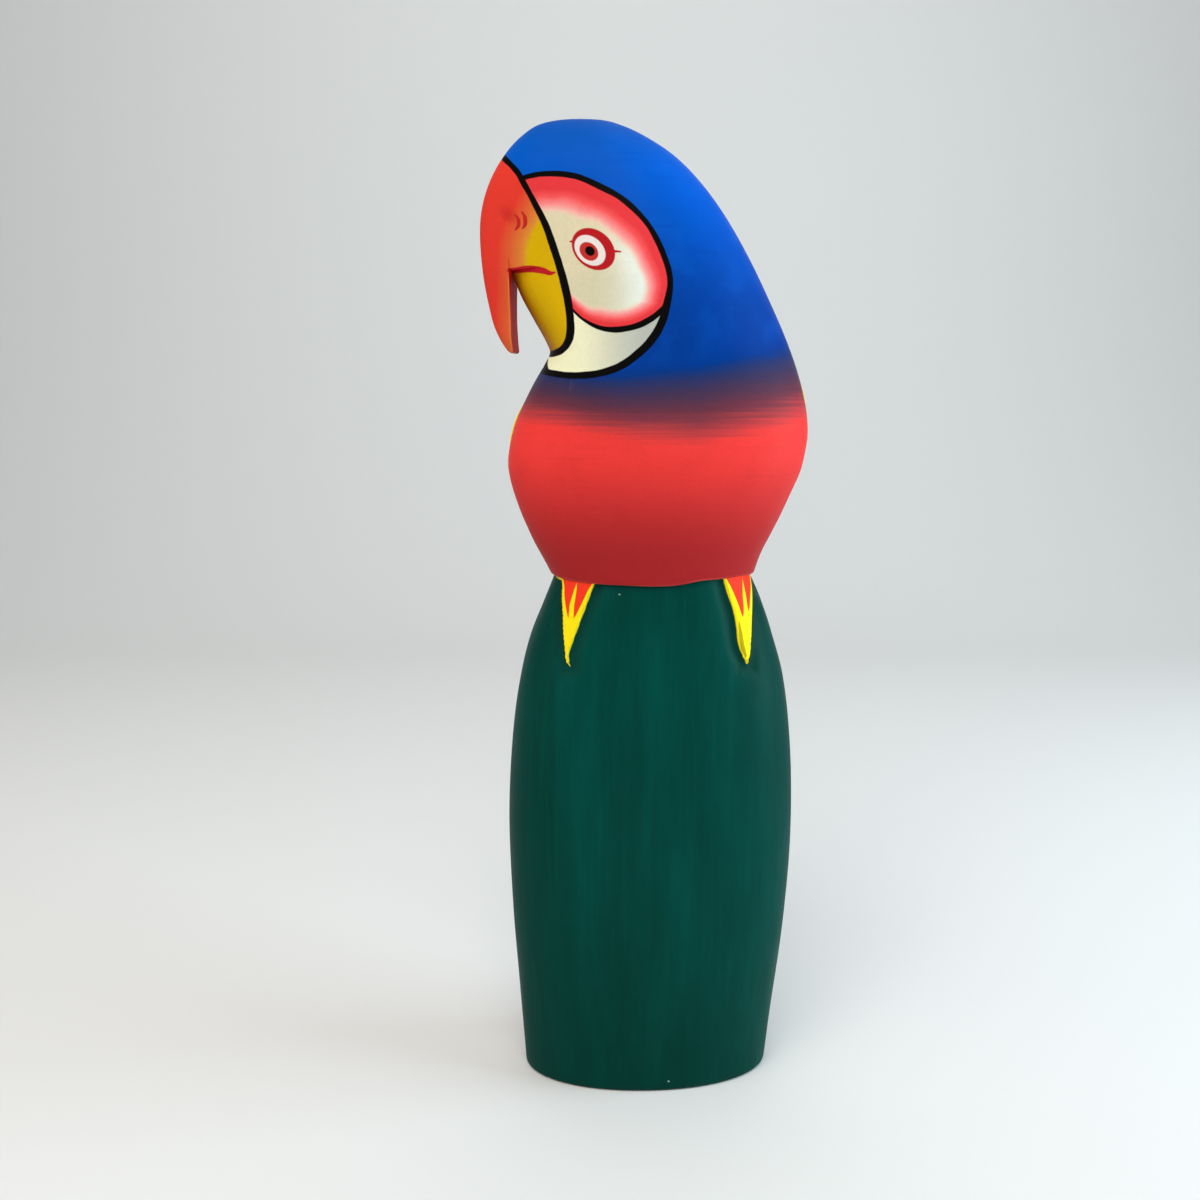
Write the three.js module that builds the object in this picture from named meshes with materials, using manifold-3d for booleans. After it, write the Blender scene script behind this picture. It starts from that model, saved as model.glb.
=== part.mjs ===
import * as THREE from 'three';
import { mergeVertices } from 'three/addons/utils/BufferGeometryUtils.js';
import Module from 'manifold-3d';

// A carved and painted wooden parrot on its own tapered trunk.
// The breast faces -Y and the beak points to -X. The origin is the middle of the underside.

// Driving dimensions, in millimetres.
const figureHeight = 415; // underside to crown
const figureBreadth = 129; // shoulder to shoulder
const figureDepth = 88; // breast to back
const waistStep = 1.6; // how far the edge of the breast stands out over the trunk
const footRelief = 1.3; // how far the feet stand out of the trunk
const wingRelief = 0.9; // how far the folded wings stand out of the back
const tailRelief = 1.4; // how far the tail stands out of the trunk
const baseEdge = 2; // rounding of the bottom edge
const tipRounding = 1.2; // rounding of the tip of the hook
const hookTurn = 0.1; // slope of the hook's cut rear face, across the thickness of the beak
const footSkew = 0.032; // slope by which the left side of the bottom edge comes forward

// Fineness of the carved surface.
const pointsAcross = 24; // from the left side to the right side
const trunkRow = 7.6; // height between two sections of the trunk
const bodyRow = 6; // height between two sections of the body
const hookRow = 3; // height between two sections of the hook
const hookPoints = 7; // from the ridge of the hook to each edge of its rear face
const crownRows = 11; // sections that round the crown
const edgeTurns = [0, 30, 60]; // degrees, sections that round the bottom edge and the tip of the hook
const wingPoints = 24; // along the front edge of a wing

// Heights, places across and depths of the carving are in percent of the first three dimensions.
const up = (percent) => (figureHeight * percent) / 100;
const across = (percent) => (figureBreadth * percent) / 100;
const deep = (percent) => (figureDepth * percent) / 100;

const crownDepth = 6.5; // height over which the crown rounds in
const mouth = 85.5;
const hookTip = 77.4;
const waist = 54.8;

// Each line runs down from the crown at 100 as [height, value], and the carving passes smoothly through it.
const ridgeOfBeak = [
  [100, -24], [99.6, -35.1], [98.5, -41.4], [96.7, -47], [93.9, -52.3], [91.3, -54.8], [89, -55.4],
  [85, -54.5], [81.9, -52.7], [80, -51.1], [78.4, -48.6], [77.3, -46.1],
];
const throatAndBreast = [
  [85.5, -45.4], [83, -42.2], [80.6, -38], [78.3, -33.9], [77.5, -33], [76.6, -34.2],
  [74.6, -38], [72.7, -41.2], [70.5, -44.2], [67.2, -46.9], [65.5, -46.9], [61.4, -43.2],
  [58.9, -39.6], [56.7, -35.5], [54.8, -31.8],
];
const napeAndBack = [
  [100, -24], [99.9, -16.1], [99.3, -8.9], [98.1, -0.8], [96.5, 7.1], [94.3, 14.6], [91.3, 22.3],
  [87.8, 29.4], [82.7, 38], [78.1, 44.8], [75.5, 47.9], [72.6, 50.5], [69.4, 51.7], [67.7, 51.1],
  [65.7, 49.7], [63.2, 46.3], [60.1, 41.8], [57.1, 36.6], [54.8, 33.6],
];
const trunkLeft = [
  [54.8, -31.8], [51.7, -35.9], [48.4, -40.1], [44.4, -43.4], [37.9, -46.6], [28.5, -48.2],
  [18, -47.2], [3, -43.8], [0, -43.1],
];
const trunkRight = [
  [54.8, 33.6], [51.7, 38.1], [48.4, 41.6], [44.4, 45.3], [37.9, 48.2], [28.5, 49.7],
  [18, 48.2], [3, 43.4], [0, 42.4],
];
const bodyFrontLine = [
  [100, 0], [99.6, 9.5], [98.5, 17], [96.7, 24], [94, 30.5], [90.4, 35], [86, 38.4], [77.3, 43.4],
  [72.3, 46.6], [67.5, 48.3], [64.1, 47.7], [60.2, 44.3], [56.6, 39.4], [54.8, 37.2],
];
const bodyBackLine = [
  [100, 0], [99.6, 9.5], [98.5, 17], [96.7, 24], [94, 30.5], [90.4, 35.4], [86, 39.4], [77.3, 45.8],
  [72.3, 48.6], [67.5, 50], [64.1, 49.7], [60.2, 47.4], [56.6, 43.4], [54.8, 41.8],
];
const trunkFrontLine = [
  [54.8, 37.2], [48.2, 39.8], [41, 42.4], [31.3, 43.5], [13, 39.9], [3, 35.8], [0, 34.5],
];
const trunkBackLine = [
  [54.8, 41.8], [48.2, 44], [41, 46], [31.3, 46.8], [13, 44.6], [3, 42.4], [0, 41.6],
];

// The crest is where a section is thickest. To its right the section rounds off all the way to the nape,
// and to its left over a share of the way to the beak or the edge of the breast.
const crestLine = [
  [100, -24], [98.1, -20.5], [96.5, -18], [94.3, -14], [91.3, -8], [87, -2.5], [80, 1], [70, 2],
  [60, 1.5], [0, 0],
];
const leftRounding = [
  [100, 0.9], [98, 0.5], [95, 0.33], [90, 0.27], [85.5, 0.25], [80, 0.28], [77, 0.36], [73, 0.68],
  [68, 0.97], [65, 1], [0, 1],
];

// Thickness at the far left as a share of the full thickness: thin along the ridge of the beak,
// wider at the throat, and full from the breast down.
const beakThinness = [
  [100, 0.6], [96.5, 0.44], [92, 0.35], [88, 0.28], [85.5, 0.245], [83.7, 0.2], [80.4, 0.16], [78.5, 0.22],
  [77.3, 0.27],
];
const throatThinness = [
  [85.5, 0.245], [83, 0.28], [80, 0.34], [77, 0.48], [74, 0.7], [70, 0.93], [67, 1], [0, 1],
];
const beakStart = -55; // place across where the head is thinnest
const cheek = -8; // place across where the head has its full thickness
const squareness = [[100, 2], [75, 2.1], [60, 2.3], [20, 2.3], [0, 2.1]]; // 2 gives a round section

const hookRearLine = [[87, -44.8], [81, -44.8], [78.5, -44.5], [77.3, -44]]; // its flat rear face
const hookRoot = 0.9; // height over which the hook's root runs up into the head
const rootSunk = 0.35; // millimetres that the root lies under the surface of the head
const skinSunk = 0.05; // millimetres that the rest lies under it
const tipLeast = 0.15; // share of its width and depth that the hook keeps at its very tip

const middle = 0; // place across where the two halves of a section meet
const middleLean = 0.7; // under the crown they meet this share of the way to the nape
const stepFade = 5; // height over which the edge of the breast sinks back into its curve
const skewFade = 30; // height over which the trunk straightens from the slope of its bottom edge
const ledge = 0.01; // difference in height between the two sections of a level step
const tuck = 0.5; // height that feet and tail run up inside the edge of the breast
const wingGap = 0.3; // height between the edge of the breast and the wings
const underBreast = waist + tuck;
const wingEnd = waist + wingGap;

// A smooth line through its stations. Its steps are even in the root of the depth below the crown,
// so that the crown is round.
function smoothLine(stations) {
  const steps = stations.map(([height]) => Math.sqrt(Math.max(0, 1 - height / 100)));
  const values = stations.map(([, value]) => value);
  const curve = new THREE.CubicInterpolant(steps, values, 1, new Float64Array(1));
  return (height) => curve.evaluate(Math.sqrt(Math.max(0, 1 - height / 100)))[0];
}

const ridge = smoothLine(ridgeOfBeak);
const breastSide = smoothLine(throatAndBreast);
const nape = smoothLine(napeAndBack);
const roundLeft = smoothLine(leftRounding);
const crest = smoothLine(crestLine);
const thinAtBeak = smoothLine(beakThinness);
const thinAtThroat = smoothLine(throatThinness);
const square = smoothLine(squareness);
const hookRear = smoothLine(hookRearLine);
const bodyFront = smoothLine(bodyFrontLine);
const bodyBack = smoothLine(bodyBackLine);
const trunk = {
  left: smoothLine(trunkLeft),
  right: smoothLine(trunkRight),
  front: smoothLine(trunkFrontLine),
  back: smoothLine(trunkBackLine),
};

// The size of one level section, in millimetres. grow adds to it all round.
function sectionAt(height, zone, grow = 0) {
  const onTrunk = zone === 'trunk';
  const left = onTrunk ? trunk.left(height) : zone === 'beak' ? ridge(height) : breastSide(height);
  const step = zone === 'body' ? waistStep * Math.max(0, 1 - (height - waist) / stepFade) : 0;
  return {
    height,
    z: up(height),
    skew: footSkew * Math.max(0, 1 - height / skewFade),
    thin: zone === 'beak' ? thinAtBeak(height) : thinAtThroat(height),
    crest: across(crest(height)),
    left: across(left) - grow - step,
    right: across(onTrunk ? trunk.right(height) : nape(height)) + grow + step,
    front: deep(onTrunk ? trunk.front(height) : bodyFront(height)) + grow + step,
    back: deep(onTrunk ? trunk.back(height) : bodyBack(height)) + grow + step,
  };
}

// Half the thickness of the carving at x, before its front or back depth is applied.
function fullness(section, x) {
  const power = square(section.height);
  const alongHead = THREE.MathUtils.smoothstep(x, across(beakStart), across(cheek));
  const endRound = (distance, reach) => {
    const inward = Math.min(1, Math.max(0, distance / reach));
    return Math.pow(1 - Math.pow(1 - inward, power), 1 / power);
  };
  const leftReach = (section.crest - section.left) * roundLeft(section.height);
  const leftEnd = endRound(x - section.left, leftReach);
  const rightEnd = endRound(section.right - x, section.right - section.crest);
  return THREE.MathUtils.lerp(section.thin, 1, alongHead) * leftEnd * rightEnd;
}

// The outline of one section: along the front from left to right, and back along the rear.
// Its points crowd towards both ends. Right of the middle they stay where they are when the left end moves.
function sectionRing(section) {
  const ring = [];
  const leaning = THREE.MathUtils.lerp(section.left, section.right, middleLean);
  const centre = Math.min(across(middle), leaning);
  for (let i = 0; i < 2 * pointsAcross; i++) {
    const swing = -Math.cos((Math.PI * i) / pointsAcross);
    const x = centre + swing * (swing < 0 ? centre - section.left : section.right - centre);
    const depth = i <= pointsAcross ? -section.front : section.back;
    ring.push(new THREE.Vector3(x, depth * fullness(section, x) + section.skew * x, section.z));
  }
  return ring;
}

// Joins rings of equal count into one closed skin. topHeight, in millimetres, raises the middle of its top.
function skinOver(rings, topHeight) {
  const positions = [];
  const face = (a, b, c) => positions.push(...a, ...b, ...c);
  const middleOf = (ring) => {
    const sum = ring.reduce((total, point) => total.add(point), new THREE.Vector3());
    return sum.divideScalar(ring.length);
  };
  const foot = middleOf(rings[0]);
  const top = middleOf(rings.at(-1));
  if (topHeight) top.z = topHeight;
  rings.forEach((ring, level) => {
    ring.forEach((point, i) => {
      const next = ring[(i + 1) % ring.length];
      if (level === 0) face(foot, next, point);
      if (level === rings.length - 1) {
        face(top, point, next);
        return;
      }
      const above = rings[level + 1][i];
      const aboveNext = rings[level + 1][(i + 1) % ring.length];
      face(point, next, aboveNext);
      face(point, aboveNext, above);
    });
  });
  const skin = new THREE.BufferGeometry();
  skin.setAttribute('position', new THREE.Float32BufferAttribute(positions, 3));
  return skin;
}

// Even heights from one level to another, both included.
function levels(from, to, spacing) {
  const count = Math.max(1, Math.round(up(to - from) / spacing));
  return Array.from({ length: count + 1 }, (_, i) => from + ((to - from) * i) / count);
}

// The trunk as sections from the underside to the waist.
function trunkSections(grow) {
  const edge = (baseEdge / figureHeight) * 100;
  const rounded = edgeTurns.map((degrees) => {
    const turn = THREE.MathUtils.degToRad(degrees);
    return sectionAt(edge * (1 - Math.cos(turn)), 'trunk', grow - baseEdge * (1 - Math.sin(turn)));
  });
  const straight = levels(edge, waist, trunkRow).map((height) => sectionAt(height, 'trunk', grow));
  return [...rounded, ...straight];
}

// The whole figure without its hook, as sections from the underside to the crown.
function figureSections(grow) {
  const sections = (zone, from, to) =>
    levels(from, to, bodyRow).map((height) => sectionAt(height, zone, grow));
  const body = sections('body', waist + ledge, mouth - ledge);
  const head = sections('beak', mouth, 100 - crownDepth);
  const top = Array.from({ length: crownRows - 1 }, (_, i) => {
    const below = crownDepth * (1 - (i + 1) / crownRows) ** 2;
    return sectionAt(100 - below, 'beak', grow);
  });
  return [...trunkSections(grow), ...body, ...head, ...top];
}

// The free end of the upper beak: rounded in front, cut flat behind, with a rounded tip.
// Its root is sunk into the head.
function hookRings() {
  const tip = (tipRounding / figureHeight) * 100;
  const rounded = edgeTurns.map((turn) => hookTip + tip * (1 - Math.cos(THREE.MathUtils.degToRad(turn))));
  const heights = [...rounded, ...levels(hookTip + tip, mouth + hookRoot, hookRow)];
  return heights.map((height) => {
    const sunk = height > mouth - hookRoot ? rootSunk : skinSunk;
    const section = sectionAt(height, 'beak', -sunk);
    const rear = across(hookRear(height));
    const halfWidth = (rear - section.left) / 2;
    const halfDepth = section.front * fullness(section, rear);
    const below = Math.max(0, 1 - (height - hookTip) / tip);
    const drawnIn = tipRounding * (1 - Math.sqrt(1 - below ** 2));
    const narrowed = Math.max(tipLeast, 1 - drawnIn / halfWidth);
    const thinned = Math.max(tipLeast, 1 - drawnIn / halfDepth);
    const ring = [];
    for (let i = hookPoints; i >= -hookPoints; i--) {
      const turn = (Math.PI / 2) * (i / hookPoints);
      const x = section.left + 2 * halfWidth * (1 - Math.cos(turn));
      const depth = (i < 0 ? -section.front : section.back) * fullness(section, x) * thinned;
      const drawn = rear - halfWidth + (x - rear + halfWidth) * narrowed;
      ring.push(new THREE.Vector3(drawn + hookTurn * depth, depth, section.z));
    }
    return ring;
  });
}

const wasm = await Module();
wasm.setup();

function solidFrom(geometry) {
  const bare = geometry.clone();
  bare.deleteAttribute('normal');
  bare.deleteAttribute('uv');
  const merged = mergeVertices(bare, 1e-4);
  return new wasm.Manifold(
    new wasm.Mesh({
      numProp: 3,
      vertProperties: new Float32Array(merged.attributes.position.array),
      triVerts: new Uint32Array(merged.index.array),
    }),
  );
}

function geometryFrom(solid) {
  const mesh = solid.getMesh();
  const geometry = new THREE.BufferGeometry();
  geometry.setAttribute('position', new THREE.BufferAttribute(mesh.vertProperties, mesh.numProp));
  geometry.setIndex(new THREE.BufferAttribute(mesh.triVerts, 1));
  geometry.computeVertexNormals();
  return geometry;
}

// A block with the given outline in X and Z, through the front half or the back half of the figure.
function blockThrough(outline, side) {
  const shape = new THREE.Shape(outline.map(([x, height]) => new THREE.Vector2(across(x), up(height))));
  const block = new THREE.ExtrudeGeometry(shape, { depth: figureDepth, bevelEnabled: false });
  block.rotateX(Math.PI / 2);
  if (side === 'back') block.translate(0, figureDepth, 0);
  return solidFrom(block);
}

// A block with the given outline in Y and Z, through the left half or the right half of the figure.
function blockAcross(outline, side) {
  const shape = new THREE.Shape(outline.map(([y, height]) => new THREE.Vector2(deep(y), up(height))));
  const block = new THREE.ExtrudeGeometry(shape, { depth: figureBreadth, bevelEnabled: false });
  block.rotateX(Math.PI / 2);
  block.rotateZ(Math.PI / 2);
  if (side === 'left') block.translate(-figureBreadth, 0, 0);
  return solidFrom(block);
}

// The figure, or its trunk alone, with its surface moved outwards.
const grownFigure = (grow) => {
  const rings = figureSections(grow).map(sectionRing);
  return solidFrom(skinOver(rings, figureHeight + grow));
};
const grownTrunk = (grow) => {
  const socket = sectionAt(underBreast, 'trunk', grow);
  return solidFrom(skinOver([...trunkSections(grow), socket].map(sectionRing)));
};

// Two feet hang below the edge of the breast, each a low wedge that narrows to a claw.
const leftFoot = [
  [-30, 56], [-29.7, 53], [-29.2, 51], [-28.4, 48], [-27.2, 46.2], [-24.4, 49.9], [-20.6, 53], [-17.8, 56],
];
const rightFoot = [
  [22.2, 56], [26.1, 52.3], [28.2, 49.3], [29.8, 47.3], [31.8, 46.2], [32.8, 47.4], [33.3, 49.6], [34, 56],
];

// A folded wing from the side: its front edge runs from the shoulder down and back to the waist.
const wingFrontEdge = [
  [30, 79.6], [20, 77.4], [12, 75.4], [5, 73.8], [1, 72.6], [0, 71.7], [1, 70.6], [5, 69.2],
  [12, 66.8], [17, 63.5], [21, 60], [25, 57.4], [29, wingEnd],
];
const shoulderRise = { left: -1.7, right: 1.9 }; // the right shoulder is carved a little higher
const riseOver = 20; // height over which that rise builds up

// The mantle shows between the wings, and narrows to a slit where they meet.
const mantle = [
  [-15, 82], [-9, 70], [-3.5, 62], [-0.9, 58], [-0.9, 52],
  [0.9, 52], [0.9, 58], [3.5, 62], [9, 70], [15, 82],
];

// The tail comes out below the wings and runs down the back of the trunk.
const tail = [
  [-15, 56], [-14, 40], [-11.5, 22], [-9, 12], [-5.5, 8.6], [0, 7.4],
  [5.5, 8.6], [9, 12], [11.5, 22], [14, 40], [15, 56],
];

function foldedWing(side) {
  const edge = new THREE.SplineCurve(wingFrontEdge.map(([y, height]) => new THREE.Vector2(y, height)));
  const raise = (height) => height + (shoulderRise[side] * Math.max(0, height - wingEnd)) / riseOver;
  const front = edge.getPoints(wingPoints).map(({ x: y, y: height }) => [y, raise(height)]);
  const behind = [[100, front.at(-1)[1]], [100, front[0][1]]];
  return grownFigure(wingRelief).intersect(blockAcross([...front, ...behind], side));
}

function carveParrot() {
  const figure = grownFigure(0);
  const hook = solidFrom(skinOver(hookRings()));
  const wings = foldedWing('left').add(foldedWing('right')).subtract(blockThrough(mantle, 'back'));
  const tailBoard = grownTrunk(tailRelief).intersect(blockThrough(tail, 'back'));
  const claws = blockThrough(leftFoot, 'front').add(blockThrough(rightFoot, 'front'));
  const feet = grownTrunk(footRelief).intersect(claws);
  return figure.add(hook).add(wings).add(tailBoard).add(feet);
}

const parrot = new THREE.Mesh(
  geometryFrom(carveParrot()),
  new THREE.MeshStandardMaterial({ color: 0x0b5245, roughness: 0.5, metalness: 0 }),
);
parrot.name = 'parrot';

const figurine = new THREE.Group();
figurine.add(parrot);

export default figurine;
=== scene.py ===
import math
import bpy
import numpy as np
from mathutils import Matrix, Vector


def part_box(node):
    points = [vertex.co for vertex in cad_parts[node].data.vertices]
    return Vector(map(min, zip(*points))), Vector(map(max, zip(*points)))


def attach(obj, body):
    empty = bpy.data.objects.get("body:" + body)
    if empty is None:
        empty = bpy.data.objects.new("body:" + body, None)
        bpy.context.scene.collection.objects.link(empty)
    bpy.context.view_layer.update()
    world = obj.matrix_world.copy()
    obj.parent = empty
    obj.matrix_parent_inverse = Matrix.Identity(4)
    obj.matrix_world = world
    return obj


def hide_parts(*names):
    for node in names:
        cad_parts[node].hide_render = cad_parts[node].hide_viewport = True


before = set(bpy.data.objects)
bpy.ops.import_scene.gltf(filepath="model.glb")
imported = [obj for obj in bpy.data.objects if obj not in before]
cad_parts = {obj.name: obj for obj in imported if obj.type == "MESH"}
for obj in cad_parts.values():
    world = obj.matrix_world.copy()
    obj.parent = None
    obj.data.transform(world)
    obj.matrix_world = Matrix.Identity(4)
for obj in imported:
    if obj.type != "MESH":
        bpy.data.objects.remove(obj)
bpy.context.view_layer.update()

low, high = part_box("parrot")
print("frame loaded", [round(v, 4) for v in high - low])

carving = {
    "height": high.z,
    "breadth": 0.129,
    "depth": 0.088,
    "waistStep": 0.0016,
    "stepFade": 5,
    "baseEdge": 0.002,
    "mouth": 85.5,
    "waist": 54.8,
    "hookTip": 77.4,
    "footSkew": 0.032,
    "tipRounding": 0.0012,
    "skewFade": 30,
    "hookTurn": 0.1,
    "hookRoot": 0.9,
    "beakStart": -55,
    "cheek": -8,
    "pointsAcross": 150,
    "middleLean": 0.7,  # under the crown the halves of a section meet this share of the way to the nape
    "edgeOfBreast": 0.0007,
    "liftReach": 0.011,  # height over which the edge of the breast is lifted
    "liftFade": (0.012, -0.012),  # from behind to the front
    # where the edge of the breast isn't cut level, [across, up] in millimetres
    "waistLift": [
        [-45, 0.8], [-37, 0.25], [-24, -0.35], [-11, -0.55], [-2, -0.8], [6, -0.7], [13, 0],
        [20, 1.2], [28, 1.5], [35, 1.9], [42, 1.3], [46, 1.2],
    ],
}

# lines of the carving, from the crown down, as [height, value] in percent of the three sizes
ridgeOfBeak = [
    [100, -24], [99.6, -35.1], [98.5, -41.4], [96.7, -47], [93.9, -52.3], [91.3, -54.8], [89, -55.4],
    [85, -54.5], [81.9, -52.7], [80, -51.1], [78.4, -48.6], [77.3, -46.1],
]
throatAndBreast = [
    [85.5, -45.4], [83, -42.2], [80.6, -38], [78.3, -33.9], [77.5, -33], [76.6, -34.2],
    [74.6, -38], [72.7, -41.2], [70.5, -44.2], [67.2, -46.9], [65.5, -46.9], [61.4, -43.2],
    [58.9, -39.6], [56.7, -35.5], [54.8, -31.8],
]
napeAndBack = [
    [100, -24], [99.9, -16.1], [99.3, -8.9], [98.1, -0.8], [96.5, 7.1], [94.3, 14.6], [91.3, 22.3],
    [87.8, 29.4], [82.7, 38], [78.1, 44.8], [75.5, 47.9], [72.6, 50.5], [69.4, 51.7], [67.7, 51.1],
    [65.7, 49.7], [63.2, 46.3], [60.1, 41.8], [57.1, 36.6], [54.8, 33.6],
]
trunkLeft = [
    [54.8, -31.8], [51.7, -35.9], [48.4, -40.1], [44.4, -43.4], [37.9, -46.6], [28.5, -48.2],
    [18, -47.2], [3, -43.8], [0, -43.1],
]
trunkRight = [
    [54.8, 33.6], [51.7, 38.1], [48.4, 41.6], [44.4, 45.3], [37.9, 48.2], [28.5, 49.7],
    [18, 48.2], [3, 43.4], [0, 42.4],
]
bodyFront = [
    [100, 0], [99.6, 9.5], [98.5, 17], [96.7, 24], [94, 30.5], [90.4, 35], [86, 38.4], [77.3, 43.4],
    [72.3, 46.6], [67.5, 48.3], [64.1, 47.7], [60.2, 44.3], [56.6, 39.4], [54.8, 37.2],
]
bodyBack = [
    [100, 0], [99.6, 9.5], [98.5, 17], [96.7, 24], [94, 30.5], [90.4, 35.4], [86, 39.4], [77.3, 45.8],
    [72.3, 48.6], [67.5, 50], [64.1, 49.7], [60.2, 47.4], [56.6, 43.4], [54.8, 41.8],
]
trunkFront = [[54.8, 37.2], [48.2, 39.8], [41, 42.4], [31.3, 43.5], [13, 39.9], [3, 35.8], [0, 34.5]]
trunkBack = [[54.8, 41.8], [48.2, 44], [41, 46], [31.3, 46.8], [13, 44.6], [3, 42.4], [0, 41.6]]
crestLine = [
    [100, -24], [98.1, -20.5], [96.5, -18], [94.3, -14], [91.3, -8], [87, -2.5], [80, 1], [70, 2],
    [60, 1.5], [0, 0],
]
leftRounding = [
    [100, 0.9], [98, 0.5], [95, 0.33], [90, 0.27], [85.5, 0.25], [80, 0.28], [77, 0.36], [73, 0.68],
    [68, 0.97], [65, 1], [0, 1],
]
beakThinness = [
    [100, 0.6], [96.5, 0.44], [92, 0.35], [88, 0.28], [85.5, 0.245], [83.7, 0.2], [80.4, 0.16],
    [78.5, 0.22], [77.3, 0.27],
]
throatThinness = [
    [85.5, 0.245], [83, 0.28], [80, 0.34], [77, 0.48], [74, 0.7], [70, 0.93], [67, 1], [0, 1],
]
hookRear = [[87, -44.8], [81, -44.8], [78.5, -44.5], [77.3, -44]]
squareness = [[100, 2], [75, 2.1], [60, 2.3], [20, 2.3], [0, 2.1]]


def smoothLine(stations):
    steps = np.sqrt(np.clip(1 - np.array([h for h, _ in stations]) / 100, 0, None))
    values = np.array([v for _, v in stations], float)
    secants = np.diff(values) / np.diff(steps)
    slopes = np.concatenate([secants[:1], (secants[1:] + secants[:-1]) / 2, secants[-1:]])

    def at(height):
        s = np.sqrt(np.clip(1 - np.asarray(height, float) / 100, 0, None))
        s = np.clip(s, steps[0], steps[-1])
        k = np.clip(np.searchsorted(steps, s, side="right") - 1, 0, len(secants) - 1)
        width = steps[k + 1] - steps[k]
        p = (s - steps[k]) / width
        q = 1 - p
        ends = values[k] * (1 + 2 * p) * q * q + values[k + 1] * p * p * (3 - 2 * p)
        return ends + width * p * q * (slopes[k] * q - slopes[k + 1] * p)
    return at


def easeBetween(value, start, end):
    t = np.clip((value - start) / (end - start), 0, 1)
    return t * t * (3 - 2 * t)


line = {
    "ridge": smoothLine(ridgeOfBeak),
    "breast": smoothLine(throatAndBreast),
    "nape": smoothLine(napeAndBack),
    "trunkLeft": smoothLine(trunkLeft),
    "trunkRight": smoothLine(trunkRight),
    "bodyFront": smoothLine(bodyFront),
    "bodyBack": smoothLine(bodyBack),
    "trunkFront": smoothLine(trunkFront),
    "trunkBack": smoothLine(trunkBack),
    "crest": smoothLine(crestLine),
    "roundLeft": smoothLine(leftRounding),
    "thinBeak": smoothLine(beakThinness),
    "thinThroat": smoothLine(throatThinness),
    "square": smoothLine(squareness),
    "hookRear": smoothLine(hookRear),
}


def sectionAt(height, zone, inset=0.0):
    across, deep = carving["breadth"] / 100, carving["depth"] / 100
    if zone == "trunk":
        left, right = line["trunkLeft"](height), line["trunkRight"](height)
        front, back = line["trunkFront"](height), line["trunkBack"](height)
    else:
        left = line["ridge"](height) if zone == "beak" else line["breast"](height)
        right = line["nape"](height)
        front, back = line["bodyFront"](height), line["bodyBack"](height)
    step = 0.0
    if zone == "body":
        step = carving["waistStep"] * max(0, 1 - (height - carving["waist"]) / carving["stepFade"])
    return {
        "z": carving["height"] * height / 100,
        "skew": carving["footSkew"] * max(0, 1 - height / carving["skewFade"]),
        "thin": float(line["thinBeak" if zone == "beak" else "thinThroat"](height)),
        "crest": float(line["crest"](height)) * across,
        "left": float(left) * across - step + inset,
        "right": float(right) * across + step - inset,
        "front": float(front) * deep + step - inset,
        "back": float(back) * deep + step - inset,
        "power": float(line["square"](height)),
        "roundLeft": float(line["roundLeft"](height)),
    }


def fullness(section, x):
    across = carving["breadth"] / 100
    alongHead = easeBetween(x, carving["beakStart"] * across, carving["cheek"] * across)
    power = section["power"]

    def endRound(distance, reach):
        inward = np.clip(distance / reach, 0, 1)
        return (1 - (1 - inward) ** power) ** (1 / power)
    leftReach = (section["crest"] - section["left"]) * section["roundLeft"]
    thick = section["thin"] + (1 - section["thin"]) * alongHead
    return thick * endRound(x - section["left"], leftReach) * endRound(
        section["right"] - x, section["right"] - section["crest"])


def sectionRing(section):
    count = carving["pointsAcross"]
    swing = -np.cos(np.pi * np.arange(2 * count) / count)
    leaning = section["left"] + carving["middleLean"] * (section["right"] - section["left"])
    centre = min(0.0, leaning)
    x = centre + swing * np.where(swing < 0, centre - section["left"], section["right"] - centre)
    depth = np.where(np.arange(2 * count) <= count, -section["front"], section["back"])
    away = depth * fullness(section, x) + section["skew"] * x
    return np.stack([x, away, np.full(len(x), section["z"])], 1)


def levels(start, end, spacing):
    count = max(1, round((end - start) / 100 * carving["height"] / spacing))
    return [start + (end - start) * i / count for i in range(count + 1)]


def roundedRings(start, zone, radius, angles):
    rings = []
    for degrees in angles:
        turn = math.radians(degrees)
        height = start + radius * (1 - math.cos(turn)) / carving["height"] * 100
        rings.append(sectionRing(sectionAt(height, zone, radius * (1 - math.sin(turn)))))
    return rings


# where the spacing of the sections changes, in percent, and the spacing in metres
rows = {
    "feetFrom": 44,
    "shoulderFrom": 64,
    "headFrom": 77,
    "crownFrom": 95,
    "trunk": 0.0030,
    "feet": 0.00105,
    "breast": 0.0016,
    "shoulder": 0.0013,
    "head": 0.00085,
    "crownRows": 26,
    "ledge": 0.01,
    "baseTurns": (0, 22, 45, 67),
    "breastTurns": (0, 30, 60),
}


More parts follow.
